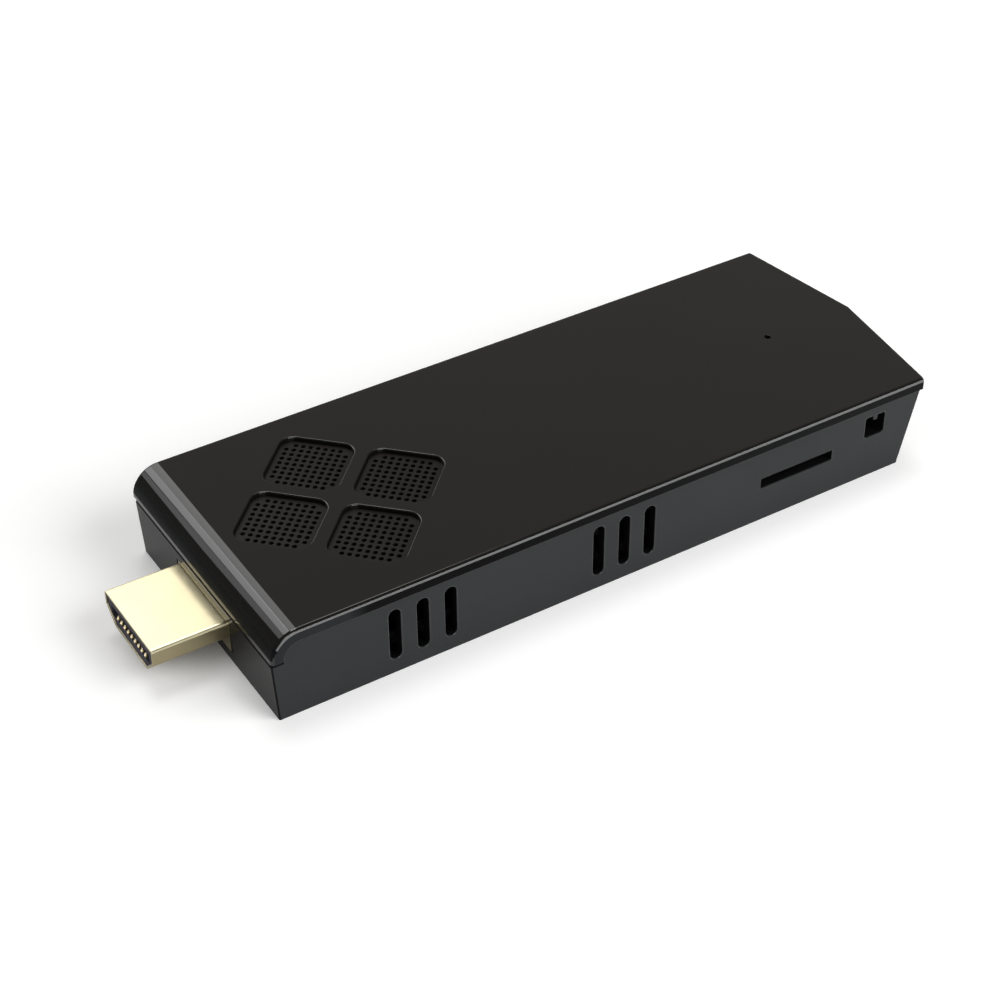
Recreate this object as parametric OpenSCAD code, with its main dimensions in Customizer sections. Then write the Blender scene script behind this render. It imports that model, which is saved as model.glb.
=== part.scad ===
// Stick computer with a video plug at its front, a rolled glossy cover over an open tray,
// and a board with its ports inside. Millimetres, Z up, plug towards -X.
// The slotted side with the card slot is -Y, and the side with the ports is +Y.
// The origin is the middle of the bottom face.

/* [Casing] */
// Length from the front wall to the tail corners
body_l = 98.9; // [97:0.1:106]
// Width of the cover
body_w = 39.1; // [38:0.1:42]
// Height of the whole stick
body_h = 13.2; // [12.8:0.1:15]
// Reach of the pointed tail past its corners
tail_point = 2.8; // [1:0.1:5]
// Lean of the tail wall from bottom to top
tail_lean = 2.8; // [1.5:0.1:3.5]
// Step from the cover's tail to the base's
tail_step = 0.1; // [0.05:0.05:0.4]
// Lean of the front wall from top to bottom
front_lean = 0.45; // [0.1:0.05:0.7]
// Overhang of the cover past the sides of the base
overhang = 0.44; // [0.28:0.02:0.5]
// Thickness of the base's walls
wall_t = 1.5; // [1.2:0.1:1.8]
// Thickness of the base's floor
floor_t = 1.5; // [1.2:0.1:1.7]
// Thickness of the cover's edge and roll
edge_t = 1.7; // [1.6:0.1:2.4]
// Thickness of the cover's top plate
plate_t = 1.4; // [1.2:0.1:1.6]
// Radius of the cover's long top edges
edge_r = 0.6; // [0.2:0.05:0.8]
// Outer radius of the cover's rolled front
roll_r = 3.9; // [3.6:0.1:4.8]
// Straight drop of the lip below the roll
lip_drop = 0.1; // [0.05:0.05:0.4]
// Reach of the lip ahead of the front wall
lip_reach = 0.15; // [0.1:0.05:0.5]
// Open joint under the lip
lip_gap = 0.7; // [0.2:0.05:0.9]
// Running gap between pieces that fit together
fit = 0.1; // [0.05:0.01:0.15]

/* [Grille] */
// Distance from the front wall to the middle of the grille
grille_u = 20; // [19:0.1:23]
// Side of one grille pad
pad_side = 10; // [8:0.1:10.4]
// Corner radius of a pad
pad_r = 1.9; // [1:0.1:2.5]
// Gap between neighbouring pads
pad_gap = 2; // [1.4:0.1:2.6]
// Depth of the pads below the cover
pad_recess = 0.6; // [0.3:0.05:0.8]
// Diameter of a grille hole
hole_d = 0.6; // [0.4:0.05:0.65]
// Pitch of the grille holes
hole_pitch = 1; // [0.9:0.05:1.2]
// Least land from the holes to a pad's edge
hole_land = 0.7; // [0.5:0.05:1.2]
// Thickness of the sheet behind the pads
panel_t = 0.8; // [0.6:0.1:1]
// Border of that sheet round the pads
panel_rim = 0.8; // [0.5:0.1:1.2]

/* [Side vents] */
// Width of a vent slot
slot_w = 1.65; // [1.2:0.05:2.2]
// Length of a vent slot
slot_h = 7.7; // [5:0.1:8]
// Height of the middle of the slots
slot_z = 6; // [5.8:0.1:6.3]
// Pitch of the slots in a group
slot_pitch = 3.93; // [3:0.01:4.5]
// Slots in a group
slot_count = 3; // [1:1:3]
// Distance from the front wall to the front group
vent_front_u = 20.6; // [18:0.1:23]
// Distance from the front wall to the rear group, on the card side only
vent_rear_u = 50.3; // [46:0.1:55]

/* [Plug] */
// Width of the plug
plug_w = 13.9; // [13.5:0.05:14.2]
// Height of the plug
plug_h = 4.45; // [4.2:0.05:4.6]
// Reach of the plug ahead of the front wall
plug_reach = 9.95; // [9:0.05:11.5]
// Height of the middle of the plug
plug_z = 4.45; // [4.4:0.05:4.6]
// Height of the plug's upright sides
plug_side = 2.2; // [1.8:0.05:2.5]
// Width of the plug's narrow face
plug_foot = 9.2; // [8.6:0.1:10]
// Radius of the plug's top corners
plug_r = 0.55; // [0.1:0.05:0.7]
// Thickness of the plug's shell
shell_t = 0.35; // [0.25:0.05:0.45]
// Width of the shell's flange in the wall's window
flange_w = 14.1; // [14:0.1:15]
// Height of the shell's flange
flange_h = 4.75; // [4.7:0.05:5]
// Thickness of the shell's flange
flange_t = 1.4; // [0.8:0.1:1.6]
// Set-back of the flange behind the front wall's top edge
flange_set = 0.2; // [0:0.05:0.4]
// Room round the flange in the wall
flange_gap = 0.15; // [0.1:0.05:0.25]
// Set-back of the core in the shell's mouth
core_inset = 0.15; // [0.05:0.05:0.4]
// Width of the mating slot in the core
mate_w = 11; // [10.6:0.1:11.4]
// Depth of the mating slot
mate_depth = 8.4; // [7:0.1:9]
// Pitch of the contacts
pin_pitch = 1; // [0.95:0.01:1.05]
// Width of a contact
pin_w = 0.45; // [0.3:0.05:0.55]
// Thickness of a contact
pin_t = 0.2; // [0.15:0.01:0.25]

/* [Board] */
// Thickness of the board
board_t = 1; // [0.8:0.1:1.2]
// Room between the board and the walls
board_gap = 0.3; // [0.2:0.05:0.6]
// Distance from the tail corners to the board's rear edge
board_tail = 5; // [4.6:0.1:6]
// Length of the contacts' tails on the board
tail_l = 1.8; // [1.2:0.1:2.2]
// Room from the board's card-side edge to the chips beside it
chip_edge = 2.2; // [1.8:0.1:2.6]
// Side of the processor
chip_side = 17; // [14:0.5:18]
// Thickness of the processor
chip_t = 1.3; // [1:0.1:1.4]
// Side of the thermal pad
pad_l = 15; // [12:0.5:18]
// Thickness of the thermal pad
pad_t = 0.5; // [0.3:0.1:0.6]
// Length of a memory chip
memory_l = 9.5; // [8:0.5:10]
// Width of a memory chip
memory_w = 7.5; // [6:0.5:8]
// Thickness of the flat chips
flat_t = 1; // [0.8:0.1:1.2]
// Length of the storage chip
storage_l = 13; // [11:0.5:14]
// Width of the storage chip
storage_w = 11.5; // [10:0.5:12]
// Distance from the radio module to the storage chip
storage_u = 15; // [14:0.1:16]
// Side of the power chip
power_chip_l = 6; // [4:0.5:7]
// Side of a power coil
coil_l = 3; // [2.4:0.1:3.6]
// Height of a power coil
coil_h = 1.4; // [1:0.1:1.6]
// Distance from the card slot to the radio module
wifi_u = 18.15; // [17.15:0.05:18.65]
// Length of the radio module
wifi_l = 13; // [12:0.5:14]
// Width of the radio module
wifi_w = 12; // [11:0.5:13]
// Thickness of the radio module's own board
wifi_t = 0.8; // [0.6:0.1:1]
// Height of the shield on the radio module
shield_h = 1.4; // [1:0.1:1.8]
// Length of the antenna patch
antenna_l = 12; // [10:0.5:15]
// Width of the antenna patch
antenna_w = 5.5; // [4:0.5:6]
// Thickness of the antenna patch
antenna_t = 0.2; // [0.15:0.05:0.3]
// Diameter of the antenna lead
lead_d = 1.1; // [0.8:0.05:1.3]

/* [Heat sink] */
// Width of the heat sink
sink_l = 26; // [25:0.5:27]
// Thickness of the heat sink's plate
sink_t = 1.4; // [1.2:0.1:1.6]
// Thickness of a fin
fin_t = 0.9; // [0.6:0.1:1.1]
// Pitch of the fins
fin_pitch = 2.5; // [2:0.1:4]
// Room from the front screws' posts to the heat sink
sink_room = 1.8; // [1.2:0.1:2.4]
// Gap from the heat sink to the front wide port or the storage chip
sink_gap = 0.2; // [0.15:0.05:0.6]
// Gap from the fins to the grille panel
fin_gap = 0.45; // [0.3:0.05:0.8]
// Distance of the heat sink's legs from its edges
leg_inset = 2.3; // [2.2:0.05:2.6]

/* [Ports] */
// Outer width of a wide port's shell
usb_w = 13.2; // [13:0.1:13.8]
// Outer height of a wide port's shell
usb_h = 5.8; // [5.5:0.1:6]
// Depth of a wide port
usb_l = 11; // [10:0.1:12]
// How far a wide port is sunk into the board
usb_sink = 1.45; // [1.3:0.05:1.7]
// Thickness of the ports' shells
port_t = 0.3; // [0.2:0.05:0.35]
// Width of a shell's wings on the board
wing_w = 1.2; // [1:0.1:1.3]
// Thickness of a wide port's tongue
tongue_t = 1.84; // [1.7:0.02:1.95]
// Width of a wide port's tongue
tongue_w = 11.1; // [10.5:0.1:11.3]
// Set-back of the tongue from the mouth
tongue_inset = 1.4; // [1:0.1:2]
// Room round a port in the wall
port_gap = 0.15; // [0.1:0.05:0.25]
// Distance from the rear wide port to the front wide port
usb3_u = 16.5; // [16.1:0.1:16.9]
// Distance from the power port to the rear wide port
usb2_u = 16; // [15.5:0.1:16.3]
// Distance from the tail corners to the power port
power_tail = 21.4; // [20.8:0.1:22]
// Outer width of the power port's shell
micro_w = 7.5; // [7.3:0.1:7.8]
// Outer height of the power port's shell
micro_h = 2.6; // [2.5:0.05:2.8]
// Depth of the power port
micro_l = 5.2; // [5:0.1:6]

/* [Card slot] */
// Distance from the tail corners to the middle of the card slot
card_tail = 20.75; // [20.2:0.05:21.3]
// Width of the card slot
card_slot_w = 11.9; // [11.5:0.1:12.2]
// Height of the card slot
card_slot_h = 1.5; // [1.3:0.05:1.7]
// Width of a card
card_w = 11; // [10.9:0.05:11.2]
// Depth of the card socket
card_l = 15.7; // [15.3:0.1:16.2]
// Height of the space for the card's rails and slider
card_h = 1.1; // [1:0.05:1.3]
// Thickness of the socket's floor
card_floor = 0.5; // [0.4:0.05:0.6]
// Thickness of the socket's steel lid
card_lid_t = 0.2; // [0.15:0.01:0.25]
// Travel of the slider
card_travel = 4.6; // [4:0.1:4.8]
// Wire of the slider's spring
wire_d = 0.14; // [0.1:0.01:0.16]
// Outer diameter of the slider's spring
spring_d = 0.9; // [0.7:0.05:0.95]
// Turns of the slider's spring
spring_turns = 8; // [5:1:9]

/* [Strap eye] */
// Distance from the tail corners to the strap eye
eye_tail = 7.65; // [7.4:0.05:8]
// Width of the strap eye
eye_w = 3.3; // [2.6:0.1:3.6]
// Height of the strap eye
eye_h = 3.2; // [2.6:0.1:3.4]
// Height of the middle of the strap eye
eye_z = 8.2; // [8:0.05:8.3]
// Corner radius of the strap eye
eye_r = 0.4; // [0.2:0.05:0.6]
// Depth of the pocket behind the eye
eye_depth = 3.4; // [3:0.1:4]
// Width and length of the tab in the eye
eye_tab = 0.7; // [0.5:0.05:1.1]
// Wall of the pocket behind the eye
eye_wall = 0.6; // [0.5:0.05:0.7]

/* [Power button] */
// Distance from the tail corners to the button
button_tail = 10.9; // [10.6:0.1:11.2]
// Length of the button
button_l = 6; // [5:0.1:6.5]
// Height of the button
button_h = 2.2; // [1.8:0.1:2.4]
// How far the button stands out of the wall
button_out = 0.25; // [0.15:0.05:0.25]
// Travel of the button
button_travel = 0.25; // [0.2:0.01:0.3]
// Height of the switch
switch_h = 3.6; // [3.4:0.1:3.8]
// Width of the switch
switch_w = 5.2; // [4.6:0.1:5.4]
// Depth of the switch
switch_l = 2.8; // [2.6:0.1:3]

/* [Screws] */
// Diameter of the screws' shanks
screw_d = 1.9; // [1.6:0.05:2]
// Diameter of the screws' heads
head_d = 3.6; // [3.2:0.1:3.8]
// Height of the screws' heads
head_h = 1.2; // [1:0.05:1.3]
// Length of a case screw under its head
case_screw_l = 7.6; // [7:0.1:8.4]
// Length of a heat sink screw under its head
sink_screw_l = 3.2; // [2.8:0.1:3.4]
// Diameter of the cover's screw posts and the heat sink's legs
post_d = 4.4; // [4:0.1:4.6]
// Distance from the front wall to the front screws
screw_front_u = 7; // [6.8:0.1:7.3]
// Distance from the sides of the base to the front screws
screw_front_y = 4.5; // [4.2:0.1:4.7]
// Distance from the tail corners to the rear screws
screw_tail = 8.2; // [8:0.1:8.4]
// Distance from the sides of the base to the rear screws
screw_rear_y = 8.8; // [8.6:0.1:9]

/* [Status lamp] */
// Distance from the tail corners to the lamp's hole
lamp_tail = 11.5; // [11.3:0.1:12]
// Diameter of the lamp's hole in the cover
lamp_d = 0.9; // [0.7:0.05:1.2]
// How far the light pipe ends below the cover
lamp_recess = 0.9; // [0.4:0.05:1.2]

/* [Hidden] */
$fn = 64;
far = body_l + 2 * tail_point;
// Casing: heights of the joint and of the cover's underside, and widths inside
part_z = body_h - edge_t;
under_z = body_h - plate_t;
base_w = body_w - 2 * overhang;
inner_w = base_w - 2 * wall_t;
// Cover: centre of the roll, its inner radius, and the lip
inner_r = roll_r - edge_t;
roll_u = roll_r - lip_reach;
roll_z = body_h - roll_r;
lip_z = roll_z - lip_drop;
front_top = lip_z - lip_gap;
wall_in = wall_t + front_lean;
// Tail: turn of its two faces, lean of the wall, and the base's foot
tail_turn = atan(tail_point / (body_w / 2));
tail_foot = body_l - tail_step - tail_lean;
tail_tilt = atan(tail_lean * cos(tail_turn) / part_z);
mid_u = (front_lean + tail_foot + tail_point) / 2;
// Board: heights of its faces and its ends
board_z = plug_z - board_t / 2;
board_top = plug_z + board_t / 2;
core_in = 1.05;
core_back = wall_in + core_in;
board_u = core_back + fit;
board_end = body_l - board_tail;
board_w = inner_w - 2 * board_gap;
// Plug: heights of its faces
plug_top = plug_z + plug_h / 2;
plug_low = plug_z - plug_h / 2;
shell_short = 0.4;
shell_back = core_back - shell_short;
press = 0.02;
// Plug: lugs of the shell on the board, and how far the contacts stay behind the mouth
lug_over = 0.8;
lug_reach = 3.2;
lug_h = 1;
lug_foot_w = 1.6;
pin_inset = 0.15;
// Grille: pad offset and holes along a side
pad_off = (pad_side + pad_gap) / sqrt(2);
hole_rows = floor((pad_side - 2 * hole_land - hole_d) / hole_pitch) + 1;
panel_side = 2 * (pad_side + panel_rim) + pad_gap;
// Places measured from the tail, and the rows ahead of the card slot and the power port
card_u = body_l - card_tail;
eye_u = body_l - eye_tail;
power_u = body_l - power_tail;
wifi_at = card_u - wifi_u;
storage_at = wifi_at - storage_u;
usb2_at = power_u - usb2_u;
usb3_at = usb2_at - usb3_u;
button_u = body_l - button_tail;
lamp_u = body_l - lamp_tail;
screw_rear_u = body_l - screw_tail;
// Heat sink: it fills the room from the front screws to the first piece behind it
sink_front = screw_front_u + post_d / 2 + sink_room;
sink_rear = min(usb3_at - usb_w / 2 - wing_w, storage_at - storage_w / 2) - sink_gap;
sink_run = sink_rear - sink_front;
sink_u = (sink_front + sink_rear) / 2;
chip_top = board_top + chip_t;
sink_z = chip_top + pad_t;
fin_top = under_z - panel_t - fin_gap;
leg_u = sink_run / 2 - leg_inset;
leg_y = sink_l / 2 - leg_inset;
leg_top = sink_z + sink_t / 2;
fin_count = floor((sink_l - fin_t) / fin_pitch) + 1;
// Chips: the processor's parts, and the gaps and rows of the small ones
substrate_t = 0.9;
die_l = 10;
die_w = 9.4;
memory_gap = 0.8;
coil_gap = 1;
storage_y = chip_edge + storage_l / 2 - board_w / 2;
cap_l = 1.6;
cap_w = 0.8;
cap_h = 0.8;
cap_pitch = 2;
cap_front = 3;
cap_rear = 8;
cap_y = 3;
crystal_l = 3.2;
crystal_w = 2.5;
crystal_h = 0.8;
crystal_back = 2;
// Screws: seat of the case screws' heads, bore of their posts and cross in the heads
head_room = 0.3;
seat_z = head_h + head_room;
thread_room = 0.06;
bore_d = screw_d + thread_room;
bore_room = 0.3;
post_bore_top = seat_z + case_screw_l + bore_room;
boss_wall = 1;
boss_d = head_d + 2 * boss_wall;
cross_l = 2.2;
cross_w = 0.54;
front_y = base_w / 2 - screw_front_y;
rear_y = base_w / 2 - screw_rear_y;
case_screw_at = [[screw_front_u, front_y], [screw_front_u, -front_y],
  [screw_rear_u, rear_y], [screw_rear_u, -rear_y]];
// Cover: tabs inside the side walls
tab_t = 0.8;
tab_l = 9;
tab_front_u = 34;
tab_tail = 34.9;
// Ports: heights of the wide ports and the tongue inside them
usb_z = board_top - usb_sink;
tongue_drop = 0.9;
tongue_z = usb_h - port_t - tongue_drop - tongue_t;
block_l = 2;
wing_set = 0.5;
wing_l = usb_l / 2 - wall_t - wing_set;
// Wide ports: long contacts, their tails, and the row of short ones
long_w = 1;
long_inner = 1;
long_outer = 3.5;
long_from = 2.2;
tail_out = 0.8;
tail_t = 0.4;
short_w = 0.7;
short_l = 1.2;
short_from = 0.4;
short_pitch = 2;
// Power port: chamfers, tongue and contacts
micro_cut = 0.9;
micro_block = 1.5;
micro_inset = 1;
micro_tongue_w = 3.8;
micro_tongue_t = 0.6;
micro_pitch = 0.65;
micro_pin_w = 0.3;
micro_from = 1.4;
micro_out = 0.6;
micro_tail_t = 0.2;
// Card socket: mouth, floor, rails and slider, with the middle of the slot at zero
card_y = -inner_w / 2 + board_gap;
card_z = board_top + card_floor;
card_half = card_w / 2 + fit;
rail_w = 0.9;
slider_w = 1.45;
channel_w = slider_w + fit;
card_left = card_half + rail_w;
card_right = card_half + channel_w + rail_w;
back_t = 0.8;
slider_front = 3.3;
slider_l = 4;
arm_reach = 2.5;
arm_l = 1;
spring_room = card_l - back_t - slider_front - slider_l;
arm_room = 0.6;
arm_y = card_l - back_t - card_travel - arm_room - arm_l;
play = fit / 2;
spring_r = (spring_d - wire_d) / 2;
spring_u = card_half + channel_w - fit - spring_d / 2;
// Button: inner face of the wall, flange, post and stem, counted inwards
button_z = board_top + switch_h / 2;
flange_in = 0.7;
flange_rim = 0.5;
button_back = base_w / 2 - wall_t - play - flange_in;
post_l = 0.3;
stem_out = 0.8;
stem_in = 1;
stem_y = button_back - post_l - play;
switch_y = stem_y - stem_out;
// Light pipe and lamp
pipe_d = lamp_d - fit;
lamp_boss_wall = 0.9;
lamp_boss_d = lamp_d + 2 * lamp_boss_wall;
lamp_boss_h = 2;
lamp_boss_z = under_z - lamp_boss_h;
lamp_l = 1.6;
lamp_w = 0.8;
lamp_h = 0.6;

// Shapes that several pieces share

module stick() translate([-mid_u, 0, 0]) children();

module along_x(at, l) translate([at, 0, 0]) rotate([90, 0, 90]) linear_extrude(l) children();

module along_y(at, l) translate([0, at + l, 0]) rotate([90, 0, 0]) linear_extrude(l) children();

module block(u, y, z, l, w, h) translate([u - l / 2, y - w / 2, z]) cube([l, w, h]);

module round_rect(w, h, r) {
  square([w - 2 * r, h], center = true);
  square([w, h - 2 * r], center = true);
  for (x = [-1, 1], y = [-1, 1])
    translate([x * (w / 2 - r), y * (h / 2 - r)]) circle(r);
}

module stadium(w, h) {
  r = min(w, h) / 2;
  square([w > h ? w - 2 * r : w, w > h ? h : h - 2 * r], center = true);
  for (s = [-1, 1])
    translate([s * max(w / 2 - r, 0), s * max(h / 2 - r, 0)]) circle(r);
}

// What lies beyond the two faces of the pointed tail
module tail_cut(at, tilt) {
  for (s = [-1, 1])
    translate([at + tail_point, 0, 0])
      rotate([0, 0, s * tail_turn])
        rotate([0, tilt, 0])
          translate([0, -body_w, -body_h])
            cube([body_w, 2 * body_w, 4 * body_h]);
}

module pad_places()
  for (p = [[pad_off, 0], [-pad_off, 0], [0, pad_off], [0, -pad_off]])
    translate([grille_u + p[0], p[1], 0]) rotate([0, 0, 45]) children();

// Casing

module base_outline() {
  difference() {
    polygon([[front_lean, 0], [0, front_top], [roll_u - inner_r + fit, front_top],
      [roll_u - inner_r + fit, part_z], [far, part_z], [far, 0]]);
    difference() {
      translate([roll_u - roll_r, roll_z]) square([roll_r, roll_r]);
      translate([roll_u, roll_z]) circle(inner_r - fit);
    }
  }
}

module base_block() difference() {
  along_y(-base_w / 2, base_w) base_outline();
  tail_cut(tail_foot, tail_tilt);
}

module base_cavity() difference() {
  translate([wall_in, -inner_w / 2, floor_t]) cube([far, inner_w, body_h]);
  tail_cut(tail_foot - wall_t, tail_tilt);
}

module vent_group(u) {
  for (i = [0 : slot_count - 1])
    translate([u + (i - (slot_count - 1) / 2) * slot_pitch, slot_z]) stadium(slot_w, slot_h);
}

module eye_outline() difference() {
  round_rect(eye_w, eye_h, eye_r);
  translate([-eye_tab / 2, eye_h / 2 - eye_tab]) square([eye_tab, eye_tab]);
}

module card_side_openings() {
  vent_group(vent_front_u);
  vent_group(vent_rear_u);
  translate([card_u, card_z + card_h / 2 + play]) square([card_slot_w, card_slot_h], center = true);
  translate([eye_u, eye_z]) eye_outline();
}

module port_side_openings() {
  vent_group(vent_front_u);
  for (u = [usb3_at, usb2_at])
    translate([u, usb_z + usb_h / 2])
      square([usb_w + 2 * port_gap, usb_h + 2 * port_gap], center = true);
  translate([power_u, board_top + micro_h / 2])
    square([micro_w + 2 * port_gap, micro_h + 2 * port_gap], center = true);
  translate([button_u, button_z]) stadium(button_l + 2 * fit, button_h + 2 * fit);
}

module strap_pocket() {
  translate([eye_u, -inner_w / 2 + (eye_depth + eye_wall - wall_t) / 2, eye_z])
    cube([eye_w + 2 * eye_wall, eye_depth + eye_wall - wall_t, eye_h + 2 * eye_wall], center = true);
}

module base_tray() color("#3c3d3f") stick() difference() {
  union() {
    difference() {
      base_block();
      base_cavity();
    }
    for (p = case_screw_at)
      translate([p[0], p[1], floor_t / 2]) cylinder(d = boss_d, h = board_z - floor_t / 2);
    strap_pocket();
  }
  for (p = case_screw_at)
    translate([p[0], p[1], 0]) {
      translate([0, 0, -1]) cylinder(d = head_d + 4 * fit, h = seat_z + 1);
      cylinder(d = screw_d + 4 * fit, h = body_h);
    }
  along_x(-1, wall_in + 1 + play)
    translate([0, plug_z])
      square([flange_w + 2 * flange_gap, flange_h + 2 * flange_gap], center = true);
  along_y(-base_w / 2 - 1, wall_t + 1 + play) card_side_openings();
  along_y(base_w / 2 - wall_t - play, wall_t + 1) port_side_openings();
  along_y(-base_w / 2 + wall_t / 2, eye_depth - wall_t / 2)
    translate([eye_u, eye_z]) round_rect(eye_w, eye_h, eye_r);
}

// Width and thickness of the cover, with its outer corners rounded
module cover_section() difference() {
  translate([-body_w / 2, 0]) square([body_w, edge_t]);
  for (s = [-1, 1])
    difference() {
      translate([s * (body_w / 2 - edge_r / 2), edge_t - edge_r / 2]) square(edge_r, center = true);
      translate([s * (body_w / 2 - edge_r), edge_t - edge_r]) circle(edge_r);
    }
}

module cover_sheet() difference() {
  union() {
    translate([0, 0, part_z]) along_x(roll_u, far) cover_section();
    translate([roll_u, 0, roll_z])
      rotate([90, 0, 180])
        rotate_extrude(angle = 90)
          translate([inner_r, 0]) rotate(-90) cover_section();
    translate([roll_u - inner_r, 0, lip_z]) linear_extrude(lip_drop) rotate(90) cover_section();
  }
  tail_cut(body_l, 0);
}

module cover_pocket() difference() {
  translate([roll_u, -inner_w / 2, part_z - 1]) cube([far, inner_w, 1 + edge_t - plate_t]);
  tail_cut(body_l - 2 * wall_t, 0);
}

// Tabs inside the side walls that place the cover
module cover_tabs() {
  for (u = [tab_front_u, body_l - tab_tail], s = [-1, 1])
    block(u, s * (inner_w / 2 - fit - tab_t / 2), part_z - tab_t, tab_l, tab_t, tab_t + edge_t - plate_t);
}

module top_cover() color("#2b2a28") stick() difference() {
  union() {
    difference() {
      cover_sheet();
      cover_pocket();
    }
    cover_tabs();
    for (p = case_screw_at)
      translate([p[0], p[1], board_top]) cylinder(d = post_d, h = under_z - board_top);
    translate([lamp_u, 0, lamp_boss_z]) cylinder(d = lamp_boss_d, h = under_z - lamp_boss_z);
  }
  translate([0, 0, part_z]) pad_places() linear_extrude(2 * edge_t) round_rect(pad_side, pad_side, pad_r);
  for (p = case_screw_at)
    translate([p[0], p[1], board_top - 1]) cylinder(d = bore_d, h = post_bore_top - board_top + 1);
  translate([lamp_u, 0, lamp_boss_z - 1]) cylinder(d = lamp_d, h = body_h);
}

module grille_panel() color("#312e2d") stick() difference() {
  union() {
    translate([grille_u, 0, under_z - panel_t])
      rotate([0, 0, 45])
        linear_extrude(panel_t) round_rect(panel_side, panel_side, pad_r + panel_rim);
    translate([0, 0, under_z - panel_t / 2])
      pad_places()
        linear_extrude(plate_t - pad_recess + panel_t / 2)
          round_rect(pad_side - fit, pad_side - fit, pad_r - play);
  }
  pad_places()
    for (i = [0 : hole_rows - 1], j = [0 : hole_rows - 1])
      if ((i % (hole_rows - 1)) + (j % (hole_rows - 1)) > 0)
        translate([(i - (hole_rows - 1) / 2) * hole_pitch, (j - (hole_rows - 1) / 2) * hole_pitch,
          under_z - 2 * panel_t])
          cylinder(d = hole_d, h = body_h, $fn = 24);
}

// A screw with its seat at zero, its head below and its shank above
module screw(l) difference() {
  union() {
    translate([0, 0, -head_h]) cylinder(d = head_d, h = head_h);
    translate([0, 0, -head_h / 2]) cylinder(d = screw_d, h = l + head_h / 2);
  }
  for (a = [0, 90])
    translate([0, 0, -head_h]) rotate([0, 0, a]) cube([cross_l, cross_w, head_h], center = true);
}

module case_screws() color("#55575a") stick()
  for (p = case_screw_at)
    translate([p[0], p[1], seat_z]) screw(case_screw_l);

// Board and what is soldered to it

module main_board() color("#202326") stick() difference() {
  translate([board_u, -board_w / 2, board_z]) cube([board_end - board_u, board_w, board_t]);
  for (u = [usb3_at, usb2_at])
    block(u, base_w / 2, board_z - 1, usb_w + 2 * port_gap, 2 * (usb_l + port_gap), board_t + 2);
  for (p = case_screw_at)
    translate([p[0], p[1], 0]) cylinder(d = screw_d + 4 * fit, h = body_h);
  for (x = [-1, 1], y = [-1, 1])
    translate([sink_u + x * leg_u, y * leg_y, 0]) cylinder(d = screw_d + 4 * fit, h = body_h);
}

module processor() color("#23262b") stick() {
  block(sink_u, 0, board_top, chip_side, chip_side, substrate_t);
  block(sink_u, 0, board_top + substrate_t / 2, die_l, die_w, chip_t - substrate_t / 2);
}

module thermal_pad() color("#9aa7b8") stick() block(sink_u, 0, chip_top, pad_l, pad_l, pad_t);

module sink_legs() for (x = [-1, 1], y = [-1, 1]) translate([sink_u + x * leg_u, y * leg_y, 0]) children();

module heat_sink() color("#2e3033") stick() difference() {
  union() {
    block(sink_u, 0, sink_z, sink_run, sink_l, sink_t);
    for (i = [0 : fin_count - 1])
      block(sink_u, (i - (fin_count - 1) / 2) * fin_pitch, sink_z + sink_t / 2,
        sink_run, fin_t, fin_top - sink_z - sink_t / 2);
    sink_legs() translate([0, 0, board_top]) cylinder(d = post_d, h = leg_top - board_top);
  }
  sink_legs() translate([0, 0, board_top - 1]) cylinder(d = bore_d, h = leg_top - board_top + 1);
}

module heat_sink_screws() color("#8d9094") stick()
  sink_legs() translate([0, 0, board_z]) screw(sink_screw_l);

module memory_chips() color("#202225") stick()
  for (x = [-1, 1], y = [-1, 1])
    block(sink_u + x * (memory_l + memory_gap) / 2, y * (memory_w + memory_gap) / 2, board_z - flat_t,
      memory_l, memory_w, flat_t);

module storage_chip() color("#1f2124") stick()
  block(storage_at, storage_y, board_top, storage_w, storage_l, flat_t);

module power_chip() color("#222428") stick()
  block(storage_at, 0, board_z - flat_t, power_chip_l, power_chip_l, flat_t);

// A row across the board behind the power chip
module power_coils() color("#4a4c50") stick()
  for (i = [0 : 3])
    block(storage_at + power_chip_l / 2 + coil_l, -power_chip_l - (i - 1.5) * (coil_l + coil_gap),
      board_z - coil_h, coil_l, coil_l, coil_h);

module capacitors() color("#b08d62") stick() {
  for (i = [0 : 5])
    block(board_u + cap_front, (i - 2.5) * cap_pitch, board_z - cap_h, cap_l, cap_w, cap_h);
  for (i = [0 : 4])
    block(storage_at + cap_rear + i * cap_pitch, cap_y, board_top, cap_w, cap_l, cap_h);
}

module clock_crystal() color("#c4c6c8") stick()
  block(storage_at - crystal_back, cap_y, board_top, crystal_l, crystal_w, crystal_h);

// Radio

wifi_y = chip_edge + wifi_w / 2 - board_w / 2;
wifi_top = board_top + wifi_t;
strip_w = 3;
shield_gap = 0.5;
lead_plug_d = 2.4;
lead_plug_h = 1.2;
lead_bend = 2;
lead_u = wifi_at + wifi_l / 2 - strip_w / 2;
lead_off = 4;
lead_y = wifi_y + lead_off;
lead_drop = 3;
lead_run_z = under_z - lead_drop;
antenna_u = lamp_u + lamp_boss_d / 2 + fit + antenna_w / 2;

module wifi_module() color("#23406b") stick()
  block(wifi_at, wifi_y, board_top, wifi_l, wifi_w, wifi_t);

module wifi_shield() color("#c9cbcd") stick()
  block(wifi_at - strip_w / 2, wifi_y, wifi_top,
    wifi_l - strip_w - shield_gap, wifi_w - shield_gap, shield_h);

module antenna() color("#b5793c") stick()
  block(antenna_u, 0, under_z - antenna_t, antenna_w, antenna_l, antenna_t);

// Quarter bend in the XZ plane about a centre, from one angle over ninety degrees
module lead_elbow(u, z, turn)
  translate([u, lead_y, z]) rotate([90, turn, 0]) rotate_extrude(angle = 90)
    translate([lead_bend, 0]) circle(d = lead_d);

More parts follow.
